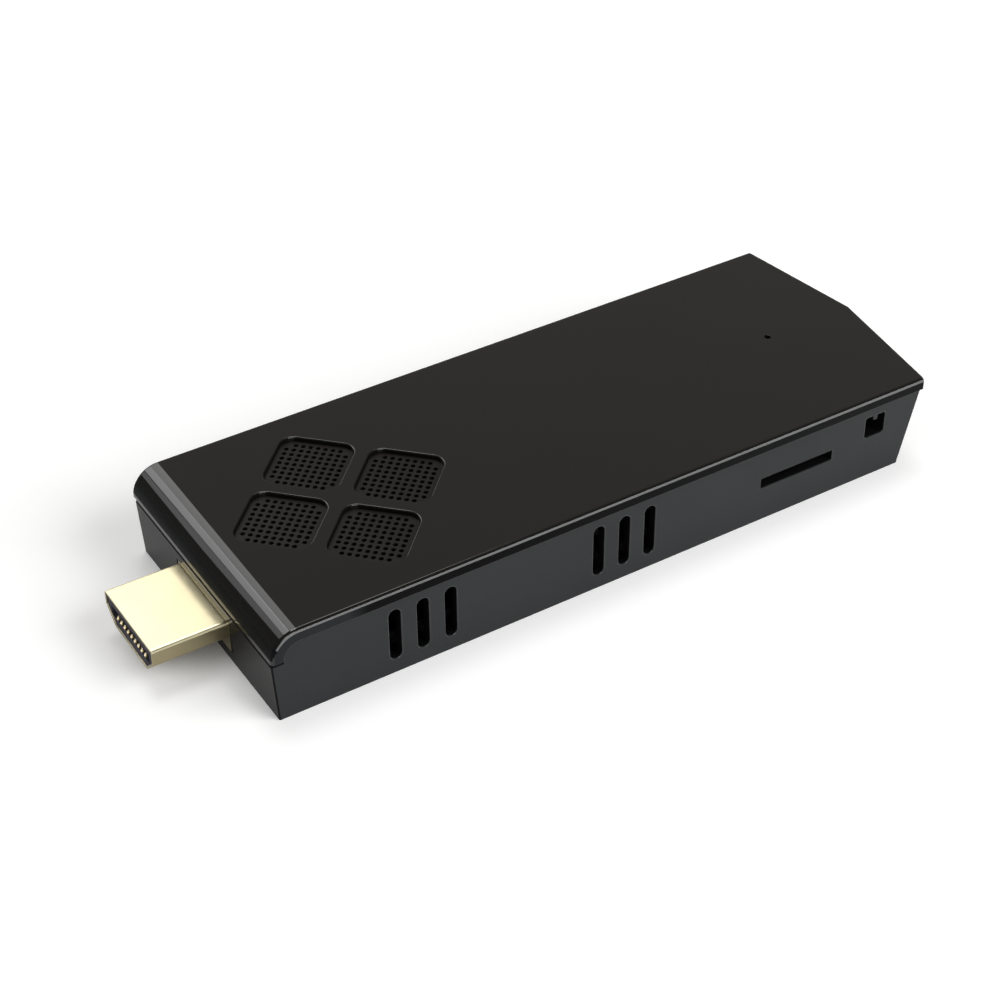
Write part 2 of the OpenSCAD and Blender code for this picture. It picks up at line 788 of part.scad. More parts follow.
module antenna_lead() color("#3a3a3c") stick() {
  plug_end = wifi_top + lead_plug_h;
  translate([lead_u, lead_y, wifi_top]) cylinder(d = lead_plug_d, h = lead_plug_h);
  translate([lead_u, lead_y, plug_end - lead_d / 4])
    cylinder(d = lead_d, h = lead_run_z - lead_bend - plug_end + lead_d / 4);
  lead_elbow(lead_u + lead_bend, lead_run_z - lead_bend, -90);
  translate([lead_u + lead_bend, lead_y, lead_run_z])
    rotate([0, 90, 0]) cylinder(d = lead_d, h = antenna_u - lead_u - 2 * lead_bend);
  lead_elbow(antenna_u - lead_bend, lead_run_z + lead_bend, 90);
  translate([antenna_u, lead_y, lead_run_z + lead_bend])
    cylinder(d = lead_d, h = under_z - antenna_t - lead_run_z - lead_bend);
}

// Video plug

// Outline of the plug, drawn in by a given thickness
function plug_points(t) =
  let (slope = [(plug_foot - plug_w) / 2, plug_low - (plug_top - plug_side)])
  let (n = [slope[1], -slope[0]] / norm(slope))
  let (p = [plug_w / 2, plug_top - plug_side] + t * n)
  let (side_z = p[1] + (plug_w / 2 - t - p[0]) / slope[0] * slope[1])
  let (foot_y = p[0] + (plug_low + t - p[1]) / slope[1] * slope[0])
  [[-foot_y, plug_low + t], [foot_y, plug_low + t], [plug_w / 2 - t, side_z],
    [plug_w / 2 - t, plug_top - t], [t - plug_w / 2, plug_top - t], [t - plug_w / 2, side_z]];

module plug_outline(t, r = 0) difference() {
  polygon(plug_points(t));
  for (s = [-1, 1])
    if (r > 0)
      translate([s * (plug_w / 2 - t), plug_top - t])
        difference() {
          square(2 * r, center = true);
          translate([-s * r, -r]) circle(r);
        }
}

module hdmi_shell() color("#d8c48a") stick() difference() {
  union() {
    along_x(-plug_reach, plug_reach + shell_back) plug_outline(0, plug_r);
    along_x(flange_set, flange_t) translate([0, plug_z]) square([flange_w, flange_h], center = true);
    for (s = [-1, 1]) {
      translate([shell_back - lug_over, s * (plug_w - shell_t) / 2 - shell_t / 2, board_top])
        cube([lug_over + lug_reach, shell_t, lug_h]);
      translate([core_back, s * (plug_w - lug_foot_w) / 2 - lug_foot_w / 2, board_top])
        cube([shell_back + lug_reach - core_back, lug_foot_w, shell_t]);
    }
  }
  along_x(-plug_reach - 1, plug_reach + shell_back + 1 + play) plug_outline(shell_t);
}

module pin_row(count, z, t, w, from, to)
  for (i = [0 : count - 1])
    translate([from, (i - (count - 1) / 2) * pin_pitch - w / 2, z]) cube([to - from, w, t]);

module hdmi_core() color("#3d3a42") stick() difference() {
  along_x(-plug_reach + core_inset, plug_reach - core_inset + core_back) plug_outline(shell_t + press);
  translate([-plug_reach, -mate_w / 2, board_z - pin_t])
    cube([mate_depth, mate_w, board_t + 2 * pin_t]);
  pin_row(10, board_top, pin_t, pin_w, -plug_reach, core_back + 1);
  pin_row(9, board_z - pin_t, pin_t, pin_w, -plug_reach, core_back + 1);
}

module hdmi_contacts() color("#e3dcc0") stick() {
  pin_row(10, board_top, pin_t, pin_w, -plug_reach + pin_inset, board_u + tail_l);
  pin_row(9, board_z - pin_t, pin_t, pin_w, -plug_reach + pin_inset, board_u + tail_l);
}

// Wide ports, each drawn with its mouth at y zero and its shell's bottom at z zero

module usb_place(u) translate([u, base_w / 2, usb_z]) children();

module usb_shell() difference() {
  union() {
    translate([-usb_w / 2, -usb_l, 0]) cube([usb_w, usb_l, usb_h]);
    translate([-usb_w / 2 - wing_w, -usb_l, usb_sink]) cube([usb_w / 2 + wing_w, wing_l, port_t]);
    translate([0, -usb_l / 2, usb_sink]) cube([usb_w / 2 + wing_w, wing_l, port_t]);
  }
  translate([port_t - usb_w / 2, -usb_l - 1, port_t])
    cube([usb_w - 2 * port_t, usb_l + 2, usb_h - 2 * port_t]);
}

// Contacts on the underside of the tongue, four long ones and a row of short ones ahead of them
module usb_contacts(short_row) {
  for (x = [-long_outer, -long_inner, long_inner, long_outer])
    translate([x - long_w / 2, -usb_l - tail_out, 0]) {
      translate([0, 0, tongue_z - pin_t])
        cube([long_w, usb_l + tail_out - tongue_inset - long_from, pin_t]);
      translate([0, 0, usb_sink]) cube([long_w, tail_t, tongue_z - usb_sink]);
    }
  if (short_row)
    for (i = [-2 : 2])
      translate([i * short_pitch - short_w / 2, -tongue_inset - short_from - short_l, tongue_z - pin_t])
        cube([short_w, short_l, pin_t]);
}

module usb_tongue() difference() {
  union() {
    translate([-usb_w / 2 + port_t + play, -usb_l, port_t + play])
      cube([usb_w - 2 * port_t - fit, block_l, usb_h - 2 * port_t - fit]);
    translate([-tongue_w / 2, -usb_l + block_l / 2, tongue_z])
      cube([tongue_w, usb_l - block_l / 2 - tongue_inset, tongue_t]);
  }
  usb_contacts(false);
}

module usb3_shell() color("#c3c6c9") stick() usb_place(usb3_at) usb_shell();
module usb3_tongue() color("#2f66b5") stick() usb_place(usb3_at) usb_tongue();
module usb3_contacts() color("#d9b45a") stick() usb_place(usb3_at) usb_contacts(true);
module usb2_shell() color("#c3c6c9") stick() usb_place(usb2_at) usb_shell();
module usb2_tongue() color("#1c1c1e") stick() usb_place(usb2_at) usb_tongue();
module usb2_contacts() color("#d9b45a") stick() usb_place(usb2_at) usb_contacts(false);

// Power port, drawn the same way on top of the board

module micro_place() translate([power_u, base_w / 2, board_top]) children();

module micro_outline(t) {
  side = micro_w / 2 - t;
  polygon([[micro_cut - side, t], [side - micro_cut, t], [side, micro_cut + t],
    [side, micro_h - t], [-side, micro_h - t], [-side, micro_cut + t]]);
}

module power_port_shell() color("#c3c6c9") stick() micro_place() difference() {
  union() {
    along_y(-micro_l, micro_l) micro_outline(0);
    block(0, -micro_l / 2 - wall_t / 2, 0, micro_w + 2 * wing_w, micro_l / 2, port_t);
  }
  along_y(-micro_l - 1, micro_l + 2) micro_outline(port_t);
}

module micro_contacts() {
  for (i = [-2 : 2])
    translate([i * micro_pitch - micro_pin_w / 2, -micro_l - micro_out, 0]) {
      translate([0, 0, micro_h / 2 - pin_t]) cube([micro_pin_w, micro_l + micro_out - micro_from, pin_t]);
      cube([micro_pin_w, micro_tail_t, micro_h / 2]);
    }
}

module power_port_tongue() color("#1c1c1e") stick() micro_place() difference() {
  union() {
    along_y(-micro_l, micro_block) micro_outline(port_t + press);
    translate([-micro_tongue_w / 2, -micro_l + micro_block / 2, micro_h / 2])
      cube([micro_tongue_w, micro_l - micro_block / 2 - micro_inset, micro_tongue_t]);
  }
  micro_contacts();
}

module power_port_contacts() color("#d9b45a") stick() micro_place() micro_contacts();

// Card socket, drawn with the middle of the slot at u zero and its mouth at y zero

module card_place() translate([card_u, card_y, 0]) children();

card_pin_pitch = 1.1;
card_pin_w = 0.6;
card_pin_from = 3;
card_pin_l = 7;

module card_contacts_shape()
  for (i = [0 : 7])
    translate([(i - 3.5) * card_pin_pitch - card_pin_w / 2, card_pin_from, 0]) {
      translate([0, 0, card_z]) cube([card_pin_w, card_pin_l, card_lid_t]);
      translate([0, card_pin_l - card_pin_w, board_top]) cube([card_pin_w, card_pin_w, card_floor]);
    }

module card_contacts() color("#d9b45a") stick() card_place() card_contacts_shape();

module card_frame() color("#222224") stick() card_place() difference() {
  union() {
    translate([-card_left, 0, board_top]) cube([card_left + card_right, card_l, card_floor]);
    translate([-card_left, 0, board_top]) cube([rail_w, card_l, card_floor + card_h]);
    translate([card_right - rail_w, 0, board_top]) cube([rail_w, card_l, card_floor + card_h]);
    translate([-card_left, card_l - back_t, board_top])
      cube([card_left + card_right, back_t, card_floor + card_h]);
  }
  card_contacts_shape();
}

module card_lid() color("#c6c8ca") stick() card_place() {
  lid_z = card_z + card_h;
  lid_w = card_left + card_right + 2 * card_lid_t;
  translate([-card_left - card_lid_t, 0, lid_z]) cube([lid_w, card_l, card_lid_t]);
  for (x = [-card_left - card_lid_t, card_right])
    translate([x, 0, board_top]) cube([card_lid_t, card_l, lid_z - board_top + card_lid_t / 2]);
}

module card_slider() color("#3a3b3e") stick() card_place() {
  low = card_z + play;
  high = card_z + card_h - play;
  arm_low = card_z + card_lid_t + fit;
  strip = slider_w - spring_d - fit;
  slider_u = card_half + play;
  translate([slider_u, slider_front, low]) cube([slider_w, slider_l, high - low]);
  translate([slider_u, slider_front, arm_low]) cube([strip, arm_y + arm_l - slider_front, high - arm_low]);
  translate([slider_u - arm_reach, arm_y, arm_low]) cube([arm_reach + strip, arm_l, high - arm_low]);
}

// Spring of the slider, one tube of six sides with eight rings a turn
spring_steps = 8 * spring_turns;
spring_y = slider_front + slider_l + play;
spring_l = spring_room - 2 * play - wire_d;
spring_z = card_z + card_h / 2;

function spring_point(i) =
  let (a = 360 * i / 8)
  [spring_u + spring_r * cos(a), spring_y + wire_d / 2 + spring_l * i / spring_steps,
    spring_z + spring_r * sin(a)];

function ring(i) =
  let (a = 360 * i / 8)
  let (out = [cos(a), 0, sin(a)])
  let (c = spring_point(i))
  [for (k = [0 : 5]) c + wire_d / 2 * (cos(60 * k) * out + sin(60 * k) * [0, 1, 0])];

spring_gap = min([for (i = [0 : spring_steps - 8]) norm(spring_point(i + 8) - spring_point(i))]) - wire_d;
echo(spring_gap = spring_gap);

module card_spring() color("#d0d2d4") stick() card_place() {
  points = [for (i = [0 : spring_steps]) each ring(i)];
  last = 6 * spring_steps;
  sides = [for (i = [0 : spring_steps - 1], k = [0 : 5])
    let (a = 6 * i + k, b = 6 * i + (k + 1) % 6)
    each [[a, b, b + 6], [a, b + 6, a + 6]]];
  caps = [for (k = [1 : 4]) each [[0, k + 1, k], [last, last + k, last + k + 1]]];
  polyhedron(points, concat(sides, caps));
}

// Power button and its switch

module power_button() color("#3a3b3d") stick() {
  along_y(button_back + play, base_w / 2 + button_out - button_back - play)
    translate([button_u, button_z]) stadium(button_l, button_h);
  along_y(button_back, flange_in)
    translate([button_u, button_z]) stadium(button_l + 2 * flange_rim, button_h + 2 * flange_rim);
  along_y(button_back - post_l, post_l + flange_in / 2)
    translate([button_u, button_z]) circle(d = button_h);
}

stem_w = 2;
stem_h = 1.2;

module switch_stem() color("#d9d6c8") stick()
  translate([button_u - stem_w / 2, stem_y - stem_out - stem_in, button_z - stem_h / 2])
    cube([stem_w, stem_out + stem_in, stem_h]);

module switch_body() color("#2a2a2c") stick() difference() {
  block(button_u, switch_y - switch_l / 2, board_top, switch_w, switch_l, switch_h);
  block(button_u, switch_y, button_z - stem_h / 2 - fit, stem_w + 2 * fit,
    2 * (stem_in + button_travel + fit), stem_h + 2 * fit);
}

// Status lamp

module status_lamp() color("#f0e9c8") stick() block(lamp_u, 0, board_top, lamp_l, lamp_w, lamp_h);

module light_pipe() color("#dfe6ea") stick() translate([lamp_u, 0, 0]) {
  translate([0, 0, board_top + lamp_h + fit])
    cylinder(d = pipe_d, h = body_h - lamp_recess - board_top - lamp_h - fit);
  translate([0, 0, lamp_boss_z - lamp_h]) cylinder(d = lamp_boss_d - 2 * fit, h = lamp_h);
}

base_tray();
top_cover();
grille_panel();
case_screws();
main_board();
hdmi_shell();
hdmi_core();
hdmi_contacts();
processor();
thermal_pad();
heat_sink();
heat_sink_screws();
memory_chips();
storage_chip();
power_chip();
power_coils();
capacitors();
clock_crystal();
wifi_module();
wifi_shield();
antenna();
antenna_lead();
usb3_shell();
usb3_tongue();
usb3_contacts();
usb2_shell();
usb2_tongue();
usb2_contacts();
power_port_shell();
power_port_tongue();
power_port_contacts();
card_frame();
card_lid();
card_contacts();
card_slider();
card_spring();
power_button();
switch_body();
switch_stem();
status_lamp();
light_pipe();
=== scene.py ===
import bpy
import bmesh
from math import radians, sin, cos, pi, sqrt
from mathutils import Matrix, Vector


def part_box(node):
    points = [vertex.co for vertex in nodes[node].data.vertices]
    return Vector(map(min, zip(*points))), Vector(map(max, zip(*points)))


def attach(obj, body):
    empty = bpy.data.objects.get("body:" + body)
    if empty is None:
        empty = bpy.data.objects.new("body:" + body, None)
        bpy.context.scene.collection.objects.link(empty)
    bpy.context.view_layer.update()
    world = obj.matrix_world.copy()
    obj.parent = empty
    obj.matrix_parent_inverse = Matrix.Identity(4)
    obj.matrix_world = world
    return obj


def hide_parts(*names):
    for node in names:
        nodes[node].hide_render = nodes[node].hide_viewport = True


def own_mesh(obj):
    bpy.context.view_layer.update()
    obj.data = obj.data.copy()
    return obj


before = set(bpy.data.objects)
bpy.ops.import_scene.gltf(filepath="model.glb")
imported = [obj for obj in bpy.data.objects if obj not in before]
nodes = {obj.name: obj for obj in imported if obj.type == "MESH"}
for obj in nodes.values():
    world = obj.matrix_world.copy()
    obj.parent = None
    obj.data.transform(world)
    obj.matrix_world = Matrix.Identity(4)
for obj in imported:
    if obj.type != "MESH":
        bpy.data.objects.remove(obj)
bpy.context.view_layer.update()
scene = bpy.context.scene
scene.view_settings.view_transform = "Standard"
mm = 0.001
close = 0.01 * mm  # places nearer than this count as one

# Camera, as the photograph was taken
camera = {
    "place": (-124.770 * mm, -191.325 * mm, 177.403 * mm),
    "azimuth": radians(-31.81),
    "elevation": radians(37.78),
    "roll": radians(-0.486),
    "lens": 77.08,
    "sensor": 36,
    "clip": (0.01, 20),
}
lensData = bpy.data.cameras.new("camera")
lensData.lens = camera["lens"]
lensData.sensor_width = camera["sensor"]
lensData.clip_start, lensData.clip_end = camera["clip"]
cameraObject = bpy.data.objects.new("camera", lensData)
cameraObject.matrix_world = (
    Matrix.Translation(camera["place"])
    @ Matrix.Rotation(camera["azimuth"], 4, "Z")
    @ Matrix.Rotation(pi / 2 - camera["elevation"], 4, "X")
    @ Matrix.Rotation(camera["roll"], 4, "Z")
)
scene.collection.objects.link(cameraObject)
scene.camera = cameraObject
print("camera set")


# Material building blocks
noiseSpan = (0.3, 0.7)  # nearly all of a noise lies between these
bumpDepth = 0.02 * mm


def startMaterial(name):
    material = bpy.data.materials.new(name)
    material.use_nodes = True
    tree = material.node_tree
    shader = tree.nodes["Principled BSDF"]
    coords = tree.nodes.new("ShaderNodeTexCoord")
    return material, tree, shader, coords.outputs["Object"]


def addNoise(tree, vector, grain, detail=2, stretch=None):
    if stretch:
        mapping = tree.nodes.new("ShaderNodeMapping")
        mapping.inputs["Scale"].default_value = stretch
        tree.links.new(vector, mapping.inputs["Vector"])
        vector = mapping.outputs["Vector"]
    noise = tree.nodes.new("ShaderNodeTexNoise")
    noise.inputs["Scale"].default_value = 1 / grain  # grain is the size of one speck in metres
    noise.inputs["Detail"].default_value = detail
    tree.links.new(vector, noise.inputs["Vector"])
    return noise.outputs["Fac"]


def blendColours(tree, factor, dark, light):
    ramp = tree.nodes.new("ShaderNodeValToRGB")
    for element, place, colour in zip(ramp.color_ramp.elements, noiseSpan, (dark, light)):
        element.position = place
        element.color = (*colour, 1)
    tree.links.new(factor, ramp.inputs["Fac"])
    return ramp.outputs["Color"]


def spreadValue(tree, factor, low, high):
    spread = tree.nodes.new("ShaderNodeMapRange")
    spread.inputs["From Min"].default_value = noiseSpan[0]
    spread.inputs["From Max"].default_value = noiseSpan[1]
    spread.inputs["To Min"].default_value = low
    spread.inputs["To Max"].default_value = high
    tree.links.new(factor, spread.inputs["Value"])
    return spread.outputs["Result"]


def addBump(tree, shader, height, strength, depth):
    bump = tree.nodes.new("ShaderNodeBump")
    bump.inputs["Strength"].default_value = strength
    bump.inputs["Distance"].default_value = depth
    tree.links.new(height, bump.inputs["Height"])
    tree.links.new(bump.outputs["Normal"], shader.inputs["Normal"])


# grades a colour along x; it paints a reflection onto the cover's sides
def paintReflectionAlong(tree, coords, stops):
    along = tree.nodes.new("ShaderNodeSeparateXYZ")
    tree.links.new(coords, along.inputs["Vector"])
    first, last = stops[0][0], stops[-1][0]
    share = tree.nodes.new("ShaderNodeMapRange")
    share.inputs["From Min"].default_value = first
    share.inputs["From Max"].default_value = last
    tree.links.new(along.outputs["X"], share.inputs["Value"])
    ramp = tree.nodes.new("ShaderNodeValToRGB")
    while len(ramp.color_ramp.elements) < len(stops):
        ramp.color_ramp.elements.new(0.5)
    for element, (place, colour) in zip(ramp.color_ramp.elements, stops):
        element.position = (place - first) / (last - first)
        element.color = (*colour, 1)
    tree.links.new(share.outputs["Result"], ramp.inputs["Fac"])
    return ramp.outputs["Color"]


def makeFinish(name, look):
    material, tree, shader, coords = startMaterial(name)
    grain = addNoise(tree, coords, look["grain"], stretch=look.get("stretch"))
    if "along" in look:
        colour = paintReflectionAlong(tree, coords, look["along"])
    else:
        clouds = addNoise(tree, coords, look["clouds"], detail=3)
        colour = blendColours(tree, clouds, look["dark"], look["light"])
    tree.links.new(colour, shader.inputs["Base Color"])
    tree.links.new(spreadValue(tree, grain, *look["rough"]), shader.inputs["Roughness"])
    addBump(tree, shader, grain, look["bump"], look.get("depth", bumpDepth))
    shader.inputs["Metallic"].default_value = look.get("metal", 0.0)
    shader.inputs["Specular IOR Level"].default_value = look.get("specular", 0.5)
    shader.inputs["Transmission Weight"].default_value = look.get("clear", 0.0)
    return material


# Finishes: clouds and grain are sizes, and along grades the colour from plug to tail to paint a reflection on
# the cover's sides
finishes = {
    "coverGloss": {"dark": (0.0052, 0.0046, 0.0041), "light": (0.0064, 0.0057, 0.0051), "clouds": 20 * mm,
                   "grain": 0.8 * mm, "rough": (0.045, 0.07), "bump": 0.012, "depth": 0.01 * mm},
    "coverEdge": {"dark": (0.0058, 0.0066, 0.0072), "light": (0.0072, 0.0080, 0.0087), "clouds": 8 * mm,
                  "grain": 0.3 * mm, "rough": (0.45, 0.55), "bump": 0.05, "specular": 0.05},
    # the cover's sides: a painted reflection, light at the front corner and towards the tail, dark between
    "paintedReflectionSide": {"along": ((-39.4 * mm, (0.0244, 0.0264, 0.0280)), (-36.6 * mm, (0.0024, 0.0024, 0.0024)),
                            (-20 * mm, (0.0012, 0.0013, 0.0013)), (35 * mm, (0.0070, 0.0074, 0.0074))),
                  "grain": 0.3 * mm, "rough": (0.45, 0.55), "bump": 0.05, "specular": 0.05},
    # a painted highlight line along the cover's upper side edges
    "paintedHighlight": {"dark": (0.178, 0.182, 0.181), "light": (0.198, 0.202, 0.201), "clouds": 6 * mm,
                  "grain": 0.3 * mm, "rough": (0.25, 0.35), "bump": 0.02, "specular": 0.2},
    "baseSatin": {"dark": (0.0193, 0.0211, 0.0224), "light": (0.0230, 0.0250, 0.0265), "clouds": 14 * mm,
                  "grain": 0.16 * mm, "rough": (0.34, 0.42), "bump": 0.05, "specular": 0.22},
    # darker than baseSatin: painted shade on the tray's front
    "frontGlossPaintedShade": {"dark": (0.0096, 0.0096, 0.0098), "light": (0.0113, 0.0113, 0.0116), "clouds": 8 * mm,
                   "grain": 0.3 * mm, "rough": (0.10, 0.15), "bump": 0.01, "specular": 0.03},
    "rimGloss": {"dark": (0.021, 0.0228, 0.0240), "light": (0.025, 0.0270, 0.0284), "clouds": 6 * mm,
                 "grain": 0.2 * mm, "rough": (0.12, 0.18), "bump": 0.02},
    # painted shade in the walls of the tray's openings, and a painted dark line down its front corners
    "paintedDark": {"dark": (0.0040, 0.0040, 0.0042), "light": (0.0060, 0.0060, 0.0063), "clouds": 4 * mm,
                    "grain": 0.16 * mm, "rough": (0.55, 0.7), "bump": 0.08, "specular": 0.08},
    "buttonSatin": {"dark": (0.027, 0.030, 0.0325), "light": (0.032, 0.0355, 0.0385), "clouds": 5 * mm,
                    "grain": 0.14 * mm, "rough": (0.38, 0.46), "bump": 0.06, "specular": 0.12},
    "grilleSatin": {"dark": (0.0074, 0.0061, 0.0055), "light": (0.0091, 0.0077, 0.0070), "clouds": 7 * mm,
                    "grain": 0.18 * mm, "rough": (0.34, 0.42), "bump": 0.06, "specular": 0.14},
    "goldPlate": {"dark": (0.79, 0.715, 0.475), "light": (0.85, 0.770, 0.515), "clouds": 5 * mm,
                  "grain": 0.12 * mm, "rough": (0.30, 0.37), "bump": 0.03, "metal": 1.0,
                  "stretch": (0.15, 1, 1)},
    # darker gold on the plug's sides, underside and mouth: painted shade
    "goldPaintedShade": {"dark": (0.285, 0.248, 0.150), "light": (0.313, 0.271, 0.166), "clouds": 5 * mm,
                  "grain": 0.12 * mm, "rough": (0.30, 0.37), "bump": 0.03, "metal": 1.0,
                  "stretch": (0.15, 1, 1)},
    "contactGold": {"dark": (0.88, 0.74, 0.44), "light": (0.95, 0.84, 0.58), "clouds": 1.5 * mm,
                    "grain": 0.1 * mm, "rough": (0.16, 0.24), "bump": 0.03, "metal": 1.0},
    "corePlastic": {"dark": (0.080, 0.073, 0.090), "light": (0.096, 0.088, 0.108), "clouds": 2 * mm,
                    "grain": 0.1 * mm, "rough": (0.55, 0.68), "bump": 0.08, "specular": 0.04},
    "blackPlastic": {"dark": (0.010, 0.010, 0.0105), "light": (0.014, 0.014, 0.0145), "clouds": 3 * mm,
                     "grain": 0.12 * mm, "rough": (0.40, 0.52), "bump": 0.08, "specular": 0.4},
    "bluePlastic": {"dark": (0.020, 0.095, 0.36), "light": (0.028, 0.120, 0.42), "clouds": 3 * mm,
                    "grain": 0.12 * mm, "rough": (0.34, 0.46), "bump": 0.08},
    "portSteel": {"dark": (0.50, 0.50, 0.49), "light": (0.60, 0.60, 0.585), "clouds": 4 * mm,
                  "grain": 0.06 * mm, "rough": (0.20, 0.34), "bump": 0.05, "metal": 1.0,
                  "stretch": (1, 0.06, 1)},
    "screwSteel": {"dark": (0.16, 0.162, 0.168), "light": (0.23, 0.232, 0.238), "clouds": 0.8 * mm,
                   "grain": 0.08 * mm, "rough": (0.28, 0.42), "bump": 0.08, "metal": 1.0},
    "chipBlack": {"dark": (0.012, 0.0125, 0.0135), "light": (0.020, 0.0205, 0.0215), "clouds": 1.2 * mm,
                  "grain": 0.07 * mm, "rough": (0.50, 0.66), "bump": 0.15, "specular": 0.4},
    "ceramicTan": {"dark": (0.34, 0.215, 0.105), "light": (0.43, 0.285, 0.150), "clouds": 0.5 * mm,
                   "grain": 0.06 * mm, "rough": (0.45, 0.6), "bump": 0.1},
    "sinkBlack": {"dark": (0.013, 0.0135, 0.0145), "light": (0.019, 0.0195, 0.021), "clouds": 3 * mm,
                  "grain": 0.08 * mm, "rough": (0.40, 0.55), "bump": 0.12, "metal": 0.6},
    "padSoft": {"dark": (0.26, 0.31, 0.38), "light": (0.33, 0.39, 0.47), "clouds": 1.5 * mm,
                "grain": 0.2 * mm, "rough": (0.65, 0.8), "bump": 0.25},
    "antennaCopper": {"dark": (0.62, 0.30, 0.15), "light": (0.74, 0.39, 0.20), "clouds": 2 * mm,
                      "grain": 0.1 * mm, "rough": (0.24, 0.36), "bump": 0.06, "metal": 1.0},
    "leadJacket": {"dark": (0.020, 0.020, 0.021), "light": (0.030, 0.030, 0.031), "clouds": 1.5 * mm,
                   "grain": 0.15 * mm, "rough": (0.4, 0.52), "bump": 0.1},
    "stemPlastic": {"dark": (0.56, 0.54, 0.46), "light": (0.64, 0.62, 0.54), "clouds": 1.2 * mm,
                    "grain": 0.1 * mm, "rough": (0.38, 0.5), "bump": 0.08},
    "lampClear": {"dark": (0.10, 0.105, 0.11), "light": (0.16, 0.165, 0.17), "clouds": 1 * mm,
                  "grain": 0.1 * mm, "rough": (0.12, 0.22), "bump": 0.05, "clear": 0.6},
}
materials = {name: makeFinish(name, look) for name, look in finishes.items()}


# Solder mask over fine tracks that run along the board
def makeBoardMask():
    look = {"mask": (0.0016, 0.0017, 0.0020), "track": (0.0034, 0.0036, 0.0042), "pitch": 0.5 * mm,
            "bands": 3, "bend": 1.6, "grain": 0.3 * mm, "rough": (0.45, 0.6), "bump": 0.15, "specular": 0.06}
    material, tree, shader, coords = startMaterial("boardMask")
    tracks = tree.nodes.new("ShaderNodeTexWave")
    tracks.bands_direction = "Y"
    tracks.inputs["Scale"].default_value = 1 / look["pitch"] / look["bands"]  # about three bands in a unit
    tracks.inputs["Distortion"].default_value = look["bend"]
    tracks.inputs["Detail"].default_value = 0
    tree.links.new(coords, tracks.inputs["Vector"])
    colour = blendColours(tree, tracks.outputs["Fac"], look["mask"], look["track"])
    tree.links.new(colour, shader.inputs["Base Color"])
    grain = addNoise(tree, coords, look["grain"])
    tree.links.new(spreadValue(tree, grain, *look["rough"]), shader.inputs["Roughness"])
    addBump(tree, shader, tracks.outputs["Fac"], look["bump"], bumpDepth)
    shader.inputs["Specular IOR Level"].default_value = look["specular"]
    return material


materials["boardMask"] = makeBoardMask()
print("materials made:", len(materials))


# Mesh helpers
meshing = {"merge": 0.002 * mm, "flat": radians(0.6), "sharp": radians(30), "smooth": radians(32),
           "weight": 100}


def cadCopy(nodeName):
    bm = bmesh.new()
    bm.from_mesh(nodes[nodeName].data)
    bmesh.ops.remove_doubles(bm, verts=bm.verts, dist=meshing["merge"])
    bmesh.ops.dissolve_limit(bm, angle_limit=meshing["flat"], verts=bm.verts, edges=bm.edges)
    return bm


def sharpEdges(bm, fits=lambda middle: True):
    found = []
    for edge in bm.edges:
        middle = (edge.verts[0].co + edge.verts[1].co) / 2
        if edge.calc_face_angle(0) > meshing["sharp"] and fits(middle):
            found.append(edge)
    return found


# A flat face round an opening is cut at y = 0, so that softened rims leave no folds in it
def cutRing(bm, fits):
    ring = [face for face in bm.faces if fits(face)]
    edges = {edge for face in ring for edge in face.edges}
    verts = {vert for face in ring for vert in face.verts}
    bmesh.ops.bisect_plane(bm, geom=[*ring, *edges, *verts], plane_co=(0, 0, 0), plane_no=(0, 1, 0))
    ring = {face for face in bm.faces if fits(face)}
    spare = [edge for edge in bm.edges if len(edge.link_faces) == 2 and ring.issuperset(edge.link_faces)
             and max(abs(vert.co.y) for vert in edge.verts) > close]
    bmesh.ops.dissolve_edges(bm, edges=spare, use_verts=False)


def soften(bm, edges, radius, steps):
    made = bmesh.ops.bevel(bm, geom=edges, offset=radius, offset_type="OFFSET", segments=steps, profile=0.5,
                           affect="EDGES", clamp_overlap=False, material=-1)
    return made["faces"]


def addPiece(bm, name, body, slotName, finish, *replaced, extra=(), flatFrom=None):
    for edge in bm.edges:
        edge.smooth = edge.calc_face_angle(0) < meshing["smooth"]
    for face in bm.faces:
        face.smooth = True
        if flatFrom and face.calc_area() > flatFrom:  # large flat faces keep one even shade
            for edge in face.edges:
                edge.smooth = False
    mesh = bpy.data.meshes.new(name)
    bm.to_mesh(mesh)
    bm.free()
    for one in (finish, *extra):
        mesh.materials.append(materials[one])
    piece = bpy.data.objects.new(name, mesh)
    scene.collection.objects.link(piece)
    even = piece.modifiers.new("evenNormals", "WEIGHTED_NORMAL")
    even.keep_sharp = True
    even.weight = meshing["weight"]
    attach(piece, body)
    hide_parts(*replaced)
    return piece


# Cover: rolled front with a satin band, soft window rims, and on each side a painted highlight line over a
# band with a painted reflection
coverLow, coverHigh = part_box("top_cover")
cover = {"windowRim": 0.22 * mm, "rim": 0.08 * mm, "underside": 11.8 * mm,
         "windowsFrom": -45.5 * mm, "windowsTo": -13.8 * mm, "reach": 15.6 * mm,
         "front": 3 * mm, "bandFrom": sin(radians(8)), "bandTo": sin(radians(33)),
         "side": cos(radians(14)), "sideSkin": 0.1 * mm,
         "edge": 0.65 * mm, "edgeFrom": sin(radians(50)),
         "edgeTurn": 1.4}  # ends the painted highlight line half way down the roll
rollBand, paintedReflectionFace, paintedHighlightFace = 1, 2, 3  # its other finishes, in the order of extra


def inWindows(p):
    return (abs(p.z - coverHigh.z) < close and abs(p.y) < cover["reach"]
            and cover["windowsFrom"] < p.x < cover["windowsTo"])


